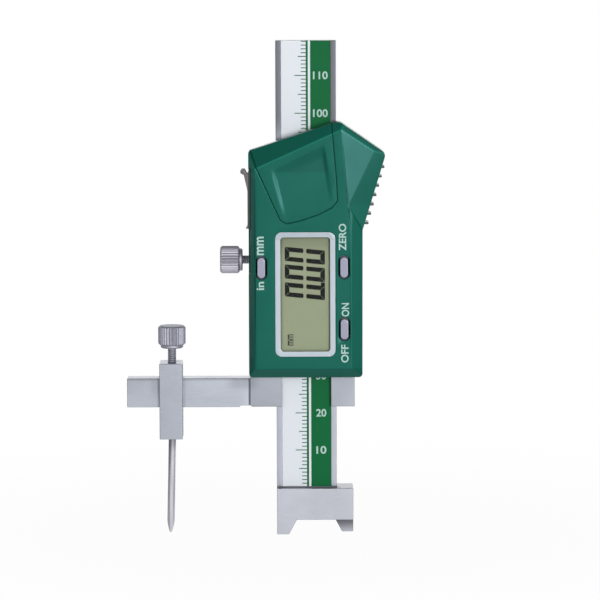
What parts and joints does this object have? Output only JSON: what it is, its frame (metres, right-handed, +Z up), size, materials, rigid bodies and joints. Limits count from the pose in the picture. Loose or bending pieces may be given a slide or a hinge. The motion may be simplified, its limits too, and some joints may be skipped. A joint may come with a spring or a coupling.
{
  "type": "digital height gauge",
  "caption": "Small digital height gauge: steel beam on a stepped foot, sliding green display housing with a side arm that holds a scriber needle.",
  "frame": {"origin": "in the plane that the foot and the needle's tip touch, below the middle of the beam's width and thickness", "axes": "+Z up along the beam, +X away from the needle along the arm, -Y towards the user"},
  "size_m": [0.0686, 0.0149, 0.1316],
  "materials": {
    "beam_steel": "satin ground stainless",
    "ground_steel": "fine ground satin stainless",
    "polished_steel": "bright ground tool steel",
    "plated_steel": "plated, straight knurl",
    "black_steel": "blackened",
    "bronze": "rolled spring bronze",
    "scale_board": "laminate",
    "scale_print": "printed film, green and white",
    "board_green": "solder mask",
    "black_plastic": "moulded",
    "white_plastic": "moulded",
    "contact_rubber": "layered elastomer",
    "display": "reflective display, olive grey",
    "clear_window": "clear",
    "silver_bezel": "pale silver",
    "green_plastic": "smooth satin moulding",
    "dark_plastic": "moulded",
    "cell_steel": "nickel plated",
    "button_grey": "satin",
    "grey_cover": "satin moulding"
  },
  "bodies": {
    "base": {"beam": "beam_steel", "scale_circuit_board": "scale_board", "scale_label": "scale_print", "foot_block": "ground_steel", "foot_screws": "black_steel", "end_stop_plate": "ground_steel", "end_stop_screws": "black_steel"},
    "slider": {"slider_frame": "ground_steel", "gib_strip": "bronze", "gib_adjusting_screws": "black_steel", "circuit_board": "board_green", "circuit_board_screws": "black_steel", "controller_chip": "black_plastic", "switch_blocks": "black_plastic", "display_holder": "white_plastic", "display_contact_strips": "contact_rubber", "display_glass": "display", "display_window": "clear_window", "display_bezel": "silver_bezel", "housing_shell": "green_plastic", "housing_back": "dark_plastic", "housing_screws": "black_steel", "battery_cell": "cell_steel", "battery_contacts": "bronze", "data_port_contacts": "black_plastic"},
    "lock_knob": {"lock_screw": "plated_steel"},
    "scriber": {"needle_holder": "ground_steel", "scriber_needle": "polished_steel"},
    "clamp_knob": {"holder_screw": "plated_steel"},
    "mode_key": {"mode_button": "button_grey"},
    "zero_key": {"zero_button": "button_grey"},
    "power_key": {"power_button": "button_grey"},
    "port_door": {"port_cover": "grey_cover"},
    "battery_door": {"battery_cover": "green_plastic"}
  },
  "joints": [
    {"name": "height_slide", "type": "slide", "parent": "base", "child": "slider", "axis": [0, 0, 1], "range_m": [-0.02, 0.02]},
    {"name": "lock_turn", "type": "hinge", "parent": "slider", "child": "lock_knob", "pos_m": [-0.016, 0, 0.0734], "axis": [-1, 0, 0], "range_deg": [0, 720]},
    {"name": "reach_slide", "type": "slide", "parent": "slider", "child": "scriber", "axis": [1, 0, 0], "range_m": [-0.0085, 0.0145]},
    {"name": "clamp_turn", "type": "hinge", "parent": "scriber", "child": "clamp_knob", "pos_m": [-0.03585, 0, 0.05], "axis": [0, 0, 1], "range_deg": [0, 720]},
    {"name": "mode_press", "type": "slide", "parent": "slider", "child": "mode_key", "axis": [0, 1, 0], "range_m": [0, 0.00045], "stiffness_N_per_m": 1500, "springref_m": -0.0003},
    {"name": "zero_press", "type": "slide", "parent": "slider", "child": "zero_key", "axis": [0, 1, 0], "range_m": [0, 0.00045], "stiffness_N_per_m": 1500, "springref_m": -0.0003},
    {"name": "power_press", "type": "slide", "parent": "slider", "child": "power_key", "axis": [0, 1, 0], "range_m": [0, 0.00045], "stiffness_N_per_m": 1500, "springref_m": -0.0003},
    {"name": "port_door_slide", "type": "slide", "parent": "slider", "child": "port_door", "axis": [0, 0, 1], "range_m": [-0.012, 0]},
    {"name": "battery_door_slide", "type": "slide", "parent": "slider", "child": "battery_door", "axis": [-0.3293, 0, 0.9442], "range_m": [0, 0.028]}
  ]
}
